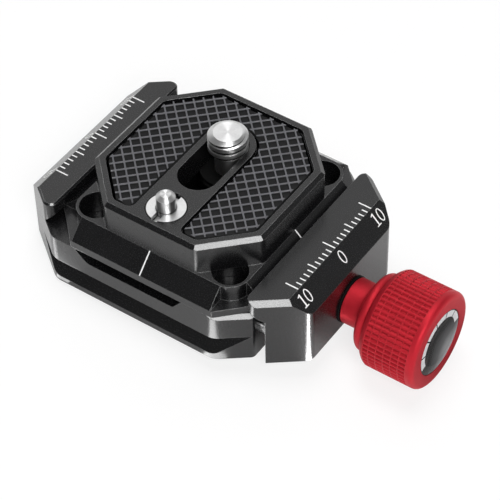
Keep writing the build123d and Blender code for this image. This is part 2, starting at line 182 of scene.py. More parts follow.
class ClampKnob(bpy.types.PropertyGroup):
    """Sizes of the knob's turned profile and of its knurling."""

    cells_round: count("Cells round", "Cells of the knurling round the grip", 60)
    cells_along: count("Cells along", "Cells of the knurling along the grip", 7)
    cell: length("Cell", "Length of a cell along the grip", 1.3)
    band: length("Band", "From the last cell to the knob's end", 1.3)
    ring_rib: length("Round ribs", "Width of the ribs that run round the grip", 0.16)
    long_rib: length("Long ribs", "Width of the ribs that run along the grip", 0.24)
    floor: length("Pit floor", "Width of a pit's floor", 0.1)
    depth: length("Pit depth", "Depth of the knurling", 0.26)
    end_slope: length("Pit end slope", "Length of the slope at a pit's ends", 0.06)
    rib_round: length("Rib edges", "Bevel of the ribs' edges", 0.05)
    phase: angle("Phase", "Where the long ribs start, round the grip", 4.6)
    wall: length("Knurled wall", "Thickness of the knurled sleeve", 0.7)
    entry: length("Entry", "Length of the bevel at the start of the grip", 0.75)
    entry_deep: length("Entry depth", "Depth of the bevel at the start of the grip", 0.5)
    collar_radius: length("Collar radius", "Radius of the collar next to the jaw", 3.8)
    collar: length("Collar", "Length of that collar, up to its hollow", 2.6)
    hollow: length("Hollow", "Radius of the hollow between collar and ring", 1.2)
    ring_radius: length("Ring radius", "Radius of the rounded ring", 6.5)
    ring: length("Ring", "Rounding of that ring's edge", 1.0)
    neck: length("Neck", "Length of the slope behind the ring", 0.9)
    neck_deep: length("Neck depth", "Depth of that slope", 0.5)
    small: length("Small edges", "Chamfer of the collar, and gap at the grip's start", 0.15)
    bevel: length("Bevel", "Chamfer where the grip starts", 0.12)
    end_round: length("End rounding", "Rounding of the knob's outer end", 0.85)
    cap_radius: length("Cap seat", "Radius of the recess for the cap", 5.52)
    cap_deep: length("Cap seat depth", "Depth of that recess", 1.92)
    play: length("Play", "Gap between the knob's bore and its stud", 0.02)
    overlap: length("Overlap", "How far the knob's core reaches into the knurled sleeve", 0.1)


class ClampScrew(bpy.types.PropertyGroup):
    """Sizes of the camera screw, a quarter inch screw with 20 threads to the inch."""

    pitch: length("Pitch", "Distance between threads", 1.27)
    groove: length("Groove", "Width of the thread's groove at the crest", 0.54)
    root: length("Root", "Radius at the bottom of the groove", 2.62)
    crest: length("Crest", "Radius of the thread", 3.175)
    tip: length("Tip", "Radius of the flat top", 2.3)
    chamfer: length("Tip chamfer", "Height of the chamfer under the top", 0.58)
    tip_deep: length("Tip bevel depth", "Depth of the small bevel round the flat top", 0.06)
    tip_wide: length("Tip bevel width", "Width of that bevel", 0.05)
    clear: length("Clearance", "How far the thread's crest lies inside its bounds", 0.001)
    thread: length("Thread", "Length of the thread", 3.5)
    start: length("Thread start", "How far up the helix is shifted", -0.03)
    end: length("Thread end", "Height of the chamfer at the thread's lower end", 0.3)
    neck: length("Neck", "Radius of the neck", 2.2)
    head: length("Head", "Height of the head", 2.5)
    head_round: length("Head chamfer", "Chamfer on the head", 0.25)
    coin_width: length("Coin slot", "Width of the slot in the head", 1.4)
    coin_deep: length("Coin slot depth", "Depth of the slot in the head", 1.2)


class ClampCap(bpy.types.PropertyGroup):
    """Sizes of the knob's cap and of the marks printed on it."""

    marks: count("Marks", "Number of segments", 6)
    first: angle("First edge", "Where the segments start, from the +Y side upwards", 7.0)
    pitch: angle("Pitch", "Angle from one segment to the next", 32.8)
    gap: angle("Gap", "Angle between segments", 3.2)
    inner: length("Inner radius", "Inner edge of the segments", 4.25)
    outer: length("Outer radius", "Outer edge of the segments", 5.3)
    sunk: length("Sunk", "How far the cap's rim lies inside the knob's end", 0.08)
    rim: length("Rim", "Width of the flat rim that carries the segments", 1.5)
    dish_deep: length("Dish depth", "Depth of the dish inside the rim", 0.75)
    bevel: length("Bevel", "Chamfer on the rim's edges", 0.05)


class ClampStage(bpy.types.PropertyGroup):
    """Camera, floor and lights."""

    azimuth: angle("Azimuth", "Camera's place round the clamp", 35.68)
    elevation: angle("Elevation", "Camera's height above the clamp", 46.66)
    roll: angle("Roll", "Camera's roll", -1.47)
    distance: length("Distance", "From the camera to the plane through the origin", 342.28)
    aside: length("Aside", "Camera's shift to its right", 5.63)
    down: length("Down", "Camera's shift downwards", 0.29)
    lens: level("Lens", "Focal length in millimetres, on a 36 mm sensor", 155.36)
    floor_reach: length("Floor", "Half width of the floor", 4000)
    floor_colour: colour("Floor colour", "Colour of the floor", 0.86, 0.86, 0.86)
    floor_glow: level("Floor glow", "How far the floor is lifted for reflections", 0.3)
    floor_share: share("Floor share", "How much of the floor's shading the camera sees", 0.3)
    floor_white: level("Floor white", "Plain white that the camera sees in the floor", 0.76)
    shade_x: length("Shade in X", "Half length of the unlifted floor under the clamp", 24)
    shade_y: length("Shade in Y", "Half width of the unlifted floor under the clamp", 18)
    rest_x: length("Knob's rest", "Where the knob's grip touches the floor", 31.94)
    key: level("Key light", "Strength of the light beside the camera", 12.0)
    sheen: level("Key sheen", "Strength that it has besides in reflections", 34.0)
    rim: level("Rim light", "Strength of the three lights that only mirror in edges", 9.0)
    top: level("Top light", "Strength of the light overhead", 7.0)
    back: level("Back light", "Strength of the large light behind", 1.0)
    sky: level("Sky", "Strength of the dim sky", 0.1)
    gleam: level("Gleam", "Strength of the cards mirrored in the upright edges", 45.0)
    gleam_long: length("Gleam length", "Length of those cards", 14)
    gleam_wide: length("Gleam width", "Width of those cards", 2.6)
    gleam_lift: length("Gleam lift", "Height of those cards over the floor", 0.6)
    reach: length("Lamp distance", "From the clamp's middle to the lamps", 600)
    dim_x: length("Dim spot in X", "Where the floor is dimmed in reflections, under the cap", 47)
    dim_y: length("Dim spot in Y", "Where the floor is dimmed in reflections, under the cap", 7)
    dim_near: length("Dim core", "Radius in which that spot is darkest", 7)
    dim_far: length("Dim edge", "Radius at which that spot ends", 15)
    dim_left: share("Dim rest", "Share of the light that is left in that spot", 0.15)


GROUPS = {
    "clamp_finish": ClampFinish, "clamp_scale": ClampScale, "clamp_pad": ClampPad,
    "clamp_knob": ClampKnob, "clamp_screw": ClampScrew, "clamp_cap": ClampCap,
    "clamp_stage": ClampStage,
}


# Shared helpers

def mm(metres):
    """Metres in millimetres."""
    return metres / MM


def box_mm(name):
    """Lowest and highest corner of a CAD node, in millimetres."""
    low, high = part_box(name)
    return low / MM, high / MM


def add(tree, kind, values=None, **settings):
    """Add a node: settings are its properties, values go to its sockets, by value or by link."""
    made = tree.nodes.new("ShaderNode" + kind)
    for name, value in settings.items():
        setattr(made, name, value)
    for socket, value in (values or {}).items():
        if isinstance(value, bpy.types.NodeSocket):
            tree.links.new(value, made.inputs[socket])
        else:
            made.inputs[socket].default_value = value
    return made


def calc(tree, operation, *values):
    """Result of one operation on numbers."""
    return add(tree, "Math", dict(enumerate(values)), operation=operation).outputs[0]


def vector_calc(tree, operation, *values):
    """Result of one operation on vectors, which is a number or a vector."""
    made = add(tree, "VectorMath", dict(enumerate(values)), operation=operation)
    number = operation in ("LENGTH", "DISTANCE", "DOT_PRODUCT")
    return made.outputs["Value" if number else "Vector"]


def part(tree, vector, axis):
    """X, Y or Z of a vector."""
    return add(tree, "SeparateXYZ", {0: vector}).outputs[axis]


def place_on(tree):
    """A point's place in the object's own coordinates."""
    return add(tree, "TexCoord").outputs["Object"]


def span(tree, value, low, high, to_low=0.0, to_high=1.0):
    """Map low and high to to_low and to_high, and keep what lies beyond them there."""
    made = add(tree, "MapRange", {"Value": value, "From Min": low, "From Max": high,
                                  "To Min": to_low, "To Max": to_high})
    return made.outputs["Result"]


def ramp(tree, source, stops):
    """Map a value to a colour or grey through (position, brightness or colour) stops."""
    made = add(tree, "ValToRGB", {"Fac": source})
    band = made.color_ramp.elements
    while len(band) < len(stops):
        band.new(0.5)
    for element, (place, value) in zip(band, stops):
        element.position = place
        element.color = (*value, 1) if isinstance(value, tuple) else (value, value, value, 1)
    return made.outputs["Color"]


def times(tint, factor):
    """A colour made darker or lighter."""
    return tuple(factor * channel for channel in tint)


def shades(tree, source, tint, dark, light, low=0.3, high=0.7):
    """Map a value to a colour, from its darker to its lighter shade."""
    return ramp(tree, source, [(low, times(tint, dark)), (high, times(tint, light))])


def mixed(tree, amount, first, second, **settings):
    """Colour between two, each of them a link or a plain colour."""
    ends = [end if isinstance(end, bpy.types.NodeSocket) else (*end, 1) for end in (first, second)]
    made = add(tree, "Mix", {0: amount, 6: ends[0], 7: ends[1]}, data_type="RGBA", **settings)
    return made.outputs[2]


def blank(name, **sockets):
    """A material with one Principled shader, its sockets set by value."""
    material = bpy.data.materials.new(name)
    material.use_nodes = True
    shader = material.node_tree.nodes["Principled BSDF"]
    for socket, value in sockets.items():
        shader.inputs[socket.replace("_", " ")].default_value = value
    return material, material.node_tree, shader


def noise(tree, size, detail):
    """Noise whose patches are about size across, in metres."""
    return add(tree, "TexNoise", {"Vector": place_on(tree), "Scale": 1 / size,
                                  "Detail": detail}).outputs[0]


def discard(piece):
    """Remove an object with its mesh."""
    mesh = piece.data
    bpy.data.objects.remove(piece)
    bpy.data.meshes.remove(mesh)


def weld(bm, gap=WELD):
    """Merge the points that lie closer than gap, in millimetres."""
    bmesh.ops.remove_doubles(bm, verts=bm.verts, dist=gap)


def border(bm):
    """Edges that have one face only."""
    return [edge for edge in bm.edges if edge.is_boundary]


def cut(bm, place, way, **side):
    """Cut a whole mesh along a plane and clear one side of it."""
    bmesh.ops.bisect_plane(bm, geom=bm.verts[:] + bm.edges[:] + bm.faces[:], plane_co=place,
                           plane_no=way, **side)


def finished(name, bm, material, sharp=SHARP):
    """Make an object in metres from a mesh modelled in millimetres."""
    bmesh.ops.recalc_face_normals(bm, faces=bm.faces)
    bmesh.ops.scale(bm, vec=(MM, MM, MM), verts=bm.verts)
    mesh = bpy.data.meshes.new(name)
    bm.to_mesh(mesh)
    bm.free()
    mesh.polygons.foreach_set("use_smooth", [True] * len(mesh.polygons))
    mesh.set_sharp_from_angle(angle=sharp)
    mesh.materials.append(material)
    piece = bpy.data.objects.new(name, mesh)
    bpy.context.scene.collection.objects.link(piece)
    return piece


def combined(name, body, tool, operation, material):
    """Object made from two meshes in millimetres by a Boolean."""
    pair = []
    for rough, bm in (("body", body), ("tool", tool)):
        bmesh.ops.recalc_face_normals(bm, faces=bm.faces)
        mesh = bpy.data.meshes.new(rough)
        bm.to_mesh(mesh)
        bm.free()
        pair.append(bpy.data.objects.new(rough, mesh))
        bpy.context.scene.collection.objects.link(pair[-1])
    boolean = pair[0].modifiers.new("cut", "BOOLEAN")
    boolean.operation = operation
    boolean.solver = "EXACT"
    boolean.use_hole_tolerant = True
    boolean.object = pair[1]
    graph = bpy.context.evaluated_depsgraph_get()
    result = bmesh.new()
    result.from_mesh(pair[0].evaluated_get(graph).data)
    for rough in pair:
        discard(rough)
    if not result.faces:
        raise RuntimeError("nothing is left of " + name)
    weld(result)
    return finished(name, result, material)


def to_mm(bm):
    """Scale a mesh in metres to millimetres."""
    bmesh.ops.scale(bm, vec=(1 / MM, 1 / MM, 1 / MM), verts=bm.verts)


def node_mesh(name):
    """Copy of a CAD node's mesh in millimetres, with its loose triangles merged."""
    bm = bmesh.new()
    bm.from_mesh(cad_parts[name].data)
    to_mm(bm)
    weld(bm, 10 * WELD)
    return bm


def outline(bm, points, closed=True):
    """Vertices and edges through a few points."""
    verts = [bm.verts.new(point) for point in points]
    pairs = list(zip(verts, verts[1:] + verts[:1])) if closed else list(zip(verts, verts[1:]))
    return verts, [bm.edges.new(pair) for pair in pairs]


def turned(profile, steps, axis=UP, centre=ORIGIN):
    """Closed solid of revolution from a closed profile of (along, radius) points."""
    bm = bmesh.new()
    along = Vector(axis)
    across = Vector(ALONG if axis == UP else UP)
    points = [Vector(centre) + along * place + across * radius for place, radius in profile]
    verts, edges = outline(bm, points)
    bmesh.ops.spin(bm, geom=verts + edges, cent=centre, axis=axis, angle=tau, steps=steps,
                   use_merge=True, use_duplicate=False)
    weld(bm)
    return bm


def arc(centre, radius, start, end, pieces):
    """Points on an arc of an (along, radius) profile, angles in degrees from the axis."""
    points = []
    for i in range(pieces + 1):
        turn = radians(start + (end - start) * i / pieces)
        points.append((centre[0] + radius * cos(turn), centre[1] + radius * sin(turn)))
    return points


def thicken(bm, faces, offset):
    """Give flat faces a thickness by moving a copy of them."""
    made = bmesh.ops.extrude_face_region(bm, geom=faces)
    moved = [v for v in made["geom"] if isinstance(v, bmesh.types.BMVert)]
    bmesh.ops.translate(bm, verts=moved, vec=offset)


# Finishes

def rounded(tree, radius):
    """Normal with rounded edges."""
    return add(tree, "Bevel", {"Radius": radius}, samples=6).outputs["Normal"]


def on_edges(tree, normal):
    """1 where the rounded normal turns away from the plain one, 0 on flats."""
    plain = add(tree, "NewGeometry").outputs["Normal"]
    return span(tree, vector_calc(tree, "DOT_PRODUCT", normal, plain), 0.995, 0.88)


def openness(tree, reach, samples):
    """How open a surface is: 1 on flats, less in hollows narrower than reach."""
    made = add(tree, "AmbientOcclusion", {"Distance": reach}, samples=samples, only_local=True)
    return made.outputs["AO"]


def dress(tree, shader, tone, gloss, height=None, deep=0.0, normal=None):
    """Link a shader's colour and roughness, and a bump as deep as deep, in metres."""
    tree.links.new(tone, shader.inputs["Base Color"])
    tree.links.new(gloss, shader.inputs["Roughness"])
    if height is None:
        return
    values = {"Height": height, "Distance": deep}
    if normal is not None:
        values["Normal"] = normal
    tree.links.new(add(tree, "Bump", values).outputs["Normal"], shader.inputs["Normal"])


def uneven(tree, grain, roughness, smoother, rougher):
    """Roughness that follows the grain, from a little smoother to a little rougher."""
    return span(tree, grain, 0.3, 0.7, roughness - smoother, roughness + rougher)


def anodised_black(sizes, name):
    """Fine blasted aluminium anodised black, with its edges painted lighter as highlights."""
    material, tree, shader = blank(name, IOR=1.5)
    normal = rounded(tree, sizes.edge_round)
    grain = noise(tree, 0.16 * MM, detail=3)
    tone = shades(tree, noise(tree, 4.0 * MM, detail=3), sizes.black, 0.82, 1.2)
    # painted highlight: the edges are painted lighter, where they would catch the light
    highlit = mixed(tree, on_edges(tree, normal), tone, sizes.edge)
    gloss = uneven(tree, grain, sizes.black_gloss, 0.03, 0.04)
    dress(tree, shader, highlit, gloss, grain, 0.0016 * MM, normal)
    return material


def anodised_red(sizes, name):
    """Satin aluminium under red anodising, painted deeper red in its hollows as shade."""
    material, tree, shader = blank(name, Metallic=0.65, IOR=1.5)
    normal = rounded(tree, 0.06 * MM)
    grain = noise(tree, 0.12 * MM, detail=3)
    # painted shade: darker red where the hollows are closed in
    deep = mixed(tree, openness(tree, 0.5 * MM, 6), sizes.red_painted_shade, sizes.red)
    # painted highlight: a lighter red for the edges
    light = [min(1.0, channel * 1.15 + 0.03) for channel in sizes.red]
    edge_highlit = mixed(tree, on_edges(tree, normal), deep, light)
    patch = ramp(tree, noise(tree, 2.5 * MM, detail=2), [(0.35, 0.92), (0.65, 1.0)])
    toned = mixed(tree, 1.0, edge_highlit, patch, blend_type="MULTIPLY")
    gloss = uneven(tree, grain, sizes.red_gloss, 0.04, 0.05)
    dress(tree, shader, toned, gloss, grain, 0.0015 * MM, normal)
    return material


def turned_steel(name, tint, centre, roughness, lines, anisotropic, painted_bands, rim=1.0,
                 foot=-1.0):
    """Steel with the fine rings that a lathe leaves round an upright axis, painted dark as shade
    in its hollows.

    painted_bands says how dark its sides get between its painted highlights, stripes round it.
    rim is the radius outside which only a painted shadow ring is left, and foot the height under
    which it is painted dark as shade."""
    material, tree, shader = blank(name, Metallic=1.0, Anisotropic=anisotropic,
                                   Anisotropic_Rotation=0.25)
    place = place_on(tree)
    moved = add(tree, "Mapping", {"Vector": place, "Location": (-centre.x, -centre.y, 0)})
    flat = vector_calc(tree, "MULTIPLY", moved.outputs[0], (1, 1, 0))
    rings = add(tree, "TexWave", {"Vector": flat, "Scale": 1 / (lines * RING),
                                  "Distortion": 1.2, "Detail": 2.0, "Detail Scale": 1.0},
                wave_type="RINGS", rings_direction="Z").outputs[1]
    # painted shade: the steel turns dark where its hollows, such as the thread's grooves, are
    # closed in
    hollow = span(tree, openness(tree, 0.6 * MM, 8), 0.56, 0.76, 0.01)
    # painted shadow: outside rim the steel is painted dark, as a shadow gap
    inside = span(tree, vector_calc(tree, "LENGTH", flat), rim - 0.03 * MM, rim + 0.03 * MM,
                  1.0, 0.02)
    up = part(tree, add(tree, "NewGeometry").outputs["Normal"], "Z")
    # painted reflection: light and dark stripes painted round the sides, fainter on faces that look
    # up
    darkest = span(tree, up, 0.4, 0.6, 1 - painted_bands, 1 - painted_bands * 0.3)
    turn = calc(tree, "ARCTAN2", part(tree, flat, "Y"), part(tree, flat, "X"))
    wave = calc(tree, "COSINE", calc(tree, "MULTIPLY_ADD", turn, ARMS, ARMS * ARMS_TURN))
    sheen = span(tree, wave, -0.7, 0.6, darkest)
    # painted shade: below foot the steel is painted dark, for a part that lies in shade
    raised = span(tree, part(tree, place, "Z"), foot, foot + 0.4 * MM, 0.01)
    # lit falls from 1 where painted shade darkens the steel: hollows, shadow ring, stripes and foot
    lit = hollow
    for factor in (inside, sheen, raised):
        lit = calc(tree, "MULTIPLY", lit, factor)
    tone = shades(tree, noise(tree, 0.3 * MM, detail=3), tint, 0.92, 1.0)
    gloss = span(tree, rings, 0.0, 1.0, roughness - 0.03, roughness + 0.05)
    dress(tree, shader, mixed(tree, lit, PAINTED_SHADE, tone), gloss, rings,
          0.0006 * MM, rounded(tree, 0.07 * MM))
    around = vector_calc(tree, "CROSS_PRODUCT", UP, flat)
    tree.links.new(vector_calc(tree, "NORMALIZE", around), shader.inputs["Tangent"])
    return material


def plain_steel(name, tint, roughness):
    """Machined steel with a fine uneven gloss."""
    material, tree, shader = blank(name, Metallic=1.0)
    grain = noise(tree, 0.12 * MM, detail=4)
    tone = shades(tree, noise(tree, 1.5 * MM, detail=3), tint, 0.85, 1.0)
    gloss = uneven(tree, grain, roughness, 0.05, 0.08)
    dress(tree, shader, tone, gloss, grain, 0.001 * MM, rounded(tree, 0.08 * MM))
    return material


def moulded(name, tint, roughness, grain_size, shine):
    """Black plastic with a fine moulded grain, its edges painted lighter as highlights."""
    material, tree, shader = blank(name, IOR=1.48, Specular_IOR_Level=shine)
    normal = rounded(tree, 0.06 * MM)
    grain = noise(tree, grain_size, detail=4)
    tone = shades(tree, noise(tree, 1.2 * MM, detail=3), tint, 0.8, 1.15)
    # painted highlight: the edges are painted lighter
    edge_highlit = mixed(tree, on_edges(tree, normal), tone, times(tint, 1.6))
    gloss = uneven(tree, grain, roughness, 0.05, 0.06)
    dress(tree, shader, edge_highlit, gloss, grain, 0.002 * MM, normal)
    return material


def pad_rubber(tint, low, high):
    """Rubber with a soft sheen on its ribs and dull pits between low and high, the ribs painted
    lighter as highlights and the pits painted darker as shade.
    """
    material, tree, shader = blank("pad rubber", IOR=1.5, Specular_IOR_Level=0.15)
    height = part(tree, place_on(tree), "Z")
    up = span(tree, height, low + (high - low) * 0.4, low + (high - low) * 0.9)
    grain = noise(tree, 0.14 * MM, detail=4)
    # painted shade: the pits are painted much darker than the rubber's own colour
    pit = shades(tree, grain, tint, 0.2, 0.6, 0.35, 0.65)
    # painted highlight: the ribs are painted much lighter than the rubber's own colour
    rib = shades(tree, grain, tint, 10.0, 13.0)
    gloss = span(tree, up, 0.0, 1.0, 0.85, 0.28)
    dress(tree, shader, mixed(tree, up, pit, rib), gloss, grain, 0.004 * MM)
    return material


def gloss_black(name, tint, light, axis_z, radius):
    """Polished black cap with a painted reflection, black at its upper edge and light at its lower.
    """
    material, tree, shader = blank(name, IOR=1.4)
    centred = vector_calc(tree, "SUBTRACT", place_on(tree), (0, 0, axis_z))
    light_side = tuple(step / radius for step in (0, 0.62, -0.78))
    across = vector_calc(tree, "DOT_PRODUCT", centred, light_side)
    shift = calc(tree, "MULTIPLY_ADD", noise(tree, 2.0 * MM, detail=2), 0.04, across)
    # painted reflection: the colour runs from the cap's black to light towards its lower edge
    tone = ramp(tree, span(tree, shift, -1.0, 1.0),
                [(0.0, tuple(tint)), (0.5, tuple(tint)), (0.76, times(light, 0.25)),
                 (1.0, tuple(light))])
    gloss = span(tree, noise(tree, 0.4 * MM, detail=3), 0.0, 1.0, 0.1, 0.2)
    dress(tree, shader, tone, gloss, noise(tree, 0.9 * MM, detail=1), 0.002 * MM,
          rounded(tree, 0.08 * MM))
    return material


def printed(name, tint):
    """White marking ink, a little uneven."""
    material, tree, shader = blank(name, IOR=1.45, Specular_IOR_Level=1.0)
    tone = shades(tree, noise(tree, 0.35 * MM, detail=3), tint, 0.93, 1.0, high=0.65)
    dress(tree, shader, tone, span(tree, noise(tree, 0.2 * MM, detail=2), 0.0, 1.0, 0.42, 0.6))
    return material


class CLAMP_OT_finish(bpy.types.Operator):
    """Give every solid of the clamp its finish"""

    bl_idname = "clamp.finish"
    bl_label = "Finish the solids"

    def execute(self, context):
        sizes = context.scene.clamp_finish
        pin = sum(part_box("index_pin"), Vector()) / 2
        low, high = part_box("pin_insert")
        # the painted shadow ring starts this far inside the insert's edge
        rim = (high.x - low.x) / 2 - sizes.insert_painted_gap
        finishes = (
            (anodised_black(sizes, "black anodising"), ("base_body", "movable_jaw")),
            (anodised_black(sizes, "plate anodising"), ("plate_body",)),
            (turned_steel("index pin steel", sizes.steel, pin, roughness=0.36, lines=0.12 * MM,
                          anisotropic=0.75, painted_bands=0.8), ("index_pin",)),
            (turned_steel("insert steel", sizes.steel, pin, roughness=0.34, lines=0.16 * MM,
                          anisotropic=0.4, painted_bands=0.2, rim=rim), ("pin_insert",)),
            (turned_steel("bush steel", sizes.plain, Vector(), roughness=0.3, lines=0.2 * MM,
                          anisotropic=0.3, painted_bands=0.1), ("thread_bush",)),
            (plain_steel("plain steel", sizes.plain, roughness=0.32),
             ("clamp_stud", "guide_pin_front", "guide_pin_rear", "knob_screw")),
            (plain_steel("spring steel", sizes.spring, roughness=0.3),
             ("clamp_spring", "pin_spring", "stud_clip")),
            (moulded("black plastic", sizes.plastic, roughness=0.7, grain_size=0.25 * MM,
                     shine=0.15), ("thrust_washer", "screw_washer")),
        )
        for finish, names in finishes:
            for name in names:
                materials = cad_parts[name].data.materials
                materials.clear()
                materials.append(finish)
        return {"FINISHED"}


# Scales and index lines

def nought(bm, sizes):
    """The figure 0: an upright oval ring round the origin, a little thinner at top and bottom."""
    height, width = mm(sizes.figure_height), mm(sizes.nought_width)
    loops = []
    for inset in (0, mm(sizes.stroke)):
        verts = bmesh.ops.create_circle(bm, segments=40, radius=1)["verts"]
        bmesh.ops.scale(bm, vec=(width / 2 - inset, height / 2 - inset * 0.9, 1), verts=verts)
        loops += dict.fromkeys(edge for vert in verts for edge in vert.link_edges)
    return bmesh.ops.bridge_loops(bm, edges=loops)["faces"]


def one(bm, sizes):
    """The figure 1 with a flag and a slab foot, round the origin."""
    top, foot = mm(sizes.figure_height) / 2, mm(sizes.foot) / 2
    stem, slab = mm(sizes.stroke) * 0.62, mm(sizes.stroke) * 0.85
    flag, flag_low, flag_in = top * 0.79, top * 0.65, top * 0.77
    points = [(-foot, -top), (foot, -top), (foot, slab - top), (stem, slab - top),
              (stem, top), (-stem * 0.4, top), (-foot, flag), (-foot, flag_low),
              (-stem, flag_in), (-stem, slab - top), (-foot, slab - top)]
    return [bm.faces.new(outline(bm, [(x, y, 0) for x, y in points])[0])]


def lay(bm, faces, matrix):
    """Give a flat figure its thickness and put it in its place."""
    verts = list({vert for face in faces for vert in face.verts})
    bmesh.ops.translate(bm, verts=verts, vec=(0, 0, -mm(PROUD)))
    before = set(bm.verts)
    thicken(bm, faces, (0, 0, 2 * mm(PROUD)))
    verts += [vert for vert in bm.verts if vert not in before]
    bmesh.ops.transform(bm, matrix=matrix, verts=list(set(verts)))


def bar(bm, size, matrix):
    """Thin painted bar: size along and across, lying in the matrix's XY plane."""
    bmesh.ops.create_cube(bm, size=1, matrix=matrix @ Matrix.Diagonal((*size, 2 * mm(PROUD), 1)))


def scale_mesh(sizes, edge, top):
    """Lines on the right jaw's top and figures on its chamfer, whose top edge is at edge in X."""
    bm = bmesh.new()
    for number in range(-sizes.reach, sizes.reach + 1):
        size = mm(sizes.short if number % 5 else sizes.middle if number % 10 else sizes.long)
        place = Matrix.Translation((edge - size / 2, number * mm(sizes.step), top))
        bar(bm, (size, mm(sizes.width)), place)
    down = mm(sizes.figure_down) / sqrt(2)
    slope = Matrix.Rotation(radians(45), 4, "Y") @ Matrix.Rotation(radians(90), 4, "Z")
    half, aside = mm(sizes.spacing) / 2, mm(sizes.figure_shift)
    for number in (-10, 0, 10):
        figures = [(one, aside - half), (nought, aside + half)] if number else [(nought, aside)]
        for figure, shift in figures:
            place = Matrix.Translation((edge + down, number + shift, top - down))
            lay(bm, figure(bm, sizes), place @ slope)
    return bm


class CLAMP_OT_scales(bpy.types.Operator):
    """Paint the scales on both jaws and the index lines on the plate"""

    bl_idname = "clamp.scales"
    bl_label = "Paint the scales"

    def execute(self, context):
        sizes = context.scene.clamp_scale
        paint = printed("white paint", context.scene.clamp_finish.paint)
        high = box_mm("movable_jaw")[1]
        edge = high.x - mm(sizes.chamfer)
        piece = finished("jaw_scale", scale_mesh(sizes, edge, high.z), paint)
        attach(piece, "jaw")
        bm = scale_mesh(sizes, edge, high.z)
        bmesh.ops.rotate(bm, cent=ORIGIN, matrix=Matrix.Rotation(pi, 3, "Z"), verts=bm.verts)
        piece = finished("base_scale", bm, paint)
        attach(piece, "clamp")

        low, high = box_mm("plate_body")
        middle = (low + high) / 2
        half, slope = (high.x - low.x) / 2, mm(sizes.slope)
        bm = bmesh.new()
        for quarter in range(4):
            place = (Matrix.Translation((middle.x, middle.y, low.z + mm(sizes.strip) + slope / 2))
                     @ Matrix.Rotation(quarter * pi / 2, 4, "Z")
                     @ Matrix.Translation((half - slope / 2, 0, 0))
                     @ Matrix.Rotation(radians(45), 4, "Y"))
            bar(bm, (slope * sqrt(2), mm(sizes.index_width)), place)
        piece = finished("index_lines", bm, paint)
        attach(piece, "plate")
        return {"FINISHED"}


# Pad

def in_pit(point, pitch, half_rib, rows):
    """Whether a point of the flat grid lies at or inside a pit's outline."""
    for place in (point.x, point.y):
        inside = (place + rows * pitch / 2) % pitch
        if inside < half_rib - SLACK or inside > pitch - half_rib + SLACK:
            return False
    return True


def rib_edge(edge):
    """Whether an edge lies between a rib's flat top and a pit's wall."""
    if len(edge.link_faces) != 2 or any(abs(vert.co.z) > WELD for vert in edge.verts):
        return False
    return edge.calc_face_angle() > STEEP


def soften(bm, kind, geometry, offset, segments):
    """Bevel edges or corners."""
    bmesh.ops.bevel(bm, geom=geometry, offset=offset, affect=kind, segments=segments, profile=0.5,
                    material=-1)


def sink(bm, face, narrow, depth):
    """Move a pit's floor down and scale it round its middle."""
    bmesh.ops.scale(bm, vec=(*narrow, 1), verts=face.verts,
                    space=Matrix.Translation(-face.calc_center_median()))
    bmesh.ops.translate(bm, verts=face.verts, vec=(0, 0, -depth))


def pit_slab(sizes, centre, low, top):
    """Slab with square pits in its top, standing on a corner of the grid."""
    bm = bmesh.new()
    rows, pitch, half_rib = sizes.rows, mm(sizes.pitch), mm(sizes.rib) / 2
    bmesh.ops.create_grid(bm, x_segments=rows, y_segments=rows, size=rows * pitch / 2)
    pits = list(bm.faces)
    bmesh.ops.inset_individual(bm, faces=pits, thickness=half_rib, use_even_offset=True)
    corners = list(dict.fromkeys(vert for face in pits for vert in face.verts))
    soften(bm, "VERTICES", corners, mm(sizes.corner), 2)
    pits = [face for face in bm.faces
            if all(in_pit(vert.co, pitch, half_rib, rows) for vert in face.verts)]
    floors = bmesh.ops.extrude_discrete_faces(bm, faces=pits)["faces"]
    for face in floors:
        sink(bm, face, (sizes.floor, sizes.floor), mm(sizes.depth))
    soften(bm, "EDGES", [edge for edge in bm.edges if rib_edge(edge)], mm(sizes.round), 2)
    side = bmesh.ops.extrude_edge_only(bm, edges=border(bm))["geom"]
    bottom = [vert for vert in side if isinstance(vert, bmesh.types.BMVert)]
    bmesh.ops.translate(bm, verts=bottom, vec=(0, 0, low - top))
    bmesh.ops.holes_fill(bm, edges=border(bm), sides=0)
    bmesh.ops.rotate(bm, cent=ORIGIN, matrix=Matrix.Rotation(radians(45), 3, "Z"),
                     verts=bm.verts)
    bmesh.ops.translate(bm, verts=bm.verts, vec=(centre.x, centre.y, top))
    return bm


class CLAMP_OT_pad(bpy.types.Operator):
    """Mould the pad's square pits"""

    bl_idname = "clamp.pad"
    bl_label = "Mould the pad"

    def execute(self, context):
        sizes = context.scene.clamp_pad
        finish = context.scene.clamp_finish
        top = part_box("grip_pad")[1].z
        rubber = pad_rubber(finish.rubber, top - sizes.depth, top)
        low, high = box_mm("grip_pad")
        below, short = 0.5, 0.005       # it reaches below the pad and ends just under its top
        slab = pit_slab(sizes, (low + high) / 2, low.z - below, high.z - short)
        shape = node_mesh("grip_pad")
        bmesh.ops.recalc_face_normals(shape, faces=shape.faces)
        shape.normal_update()
        for vert in shape.verts:
            vert.co -= Vector((vert.normal.x, vert.normal.y, 0)).normalized() * mm(sizes.gap)
        piece = combined("moulded_pad", slab, shape, "INTERSECT", rubber)
        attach(piece, "plate")
        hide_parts("grip_pad")
        # painted shadow: a near black, matte sheet at the recess's floor, seen as shade in the gap
        # round the pad
        film = node_mesh("grip_pad")
        cut(film, (0, 0, low.z + mm(sizes.shade_sheet)), UP, clear_outer=True)
        bmesh.ops.holes_fill(film, edges=border(film), sides=0)
        matte = moulded("backing film", times(finish.rubber, 0.03), roughness=0.9,
                        grain_size=0.2 * MM, shine=0.0)
        shade_piece = finished("pad_shade_sheet", film, matte)
        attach(shade_piece, "plate")
        return {"FINISHED"}


# Knob

